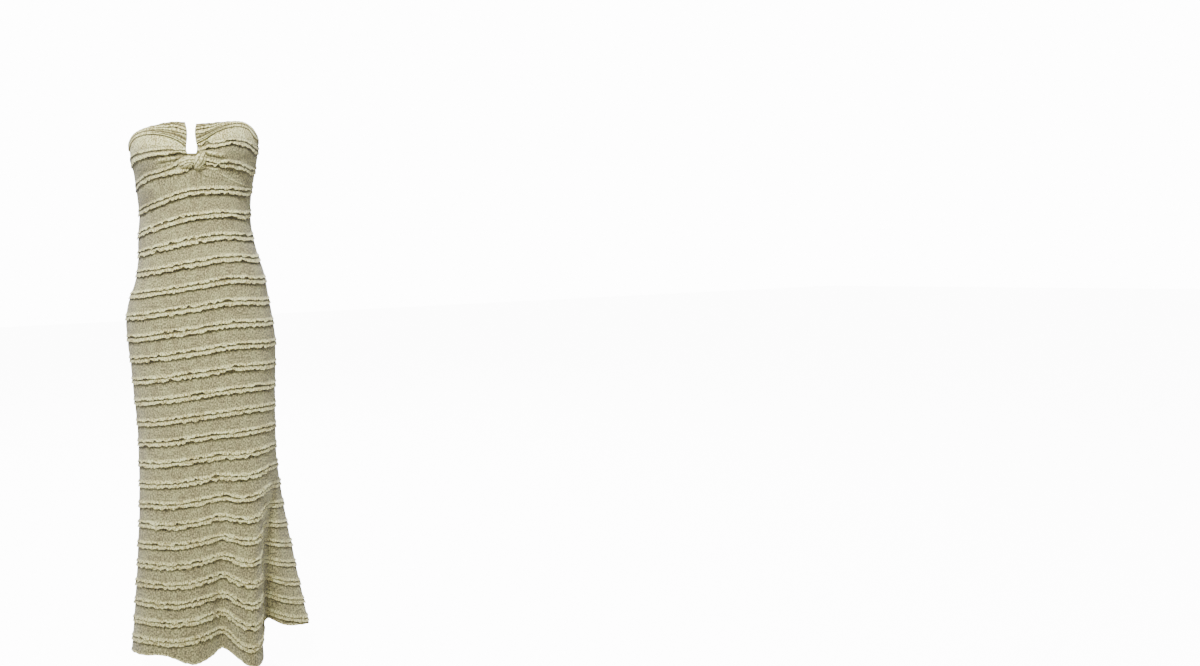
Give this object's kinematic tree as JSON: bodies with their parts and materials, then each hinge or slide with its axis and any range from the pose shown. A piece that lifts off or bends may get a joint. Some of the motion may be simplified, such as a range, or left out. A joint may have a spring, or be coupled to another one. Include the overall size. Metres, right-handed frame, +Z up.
{
  "type": "maxi dress",
  "caption": "Strapless full-length dress in ruffled rib knit, with a keyhole over a twisted knot at the bust, fitted to the knee and flared to a folded hem; worn shape, hollow.",
  "frame": {"origin": "middle of the top opening, about halfway up between the top edge at the back and the peaks of the cups, where the wearer's chest holds the dress", "axes": "+Z up along the dress, -Y out of the front, +X to the wearer's left"},
  "size_m": [0.4109, 0.3287, 1.21],
  "materials": {
    "ruffled_knit": "fine ribbed knit, matt, cream to pale olive",
    "turned_knit": "ribbed knit turned over elastic, matt",
    "gathered_knit": "ribbed knit drawn into a knot, matt"
  },
  "bodies": {
    "root": {"back_panel": "ruffled_knit", "front_panel": "ruffled_knit", "cup_right": "ruffled_knit", "cup_left": "ruffled_knit", "casing_back": "turned_knit", "casing_right": "turned_knit", "casing_left": "turned_knit", "centre_knot": "gathered_knit"}
  },
  "joints": []
}
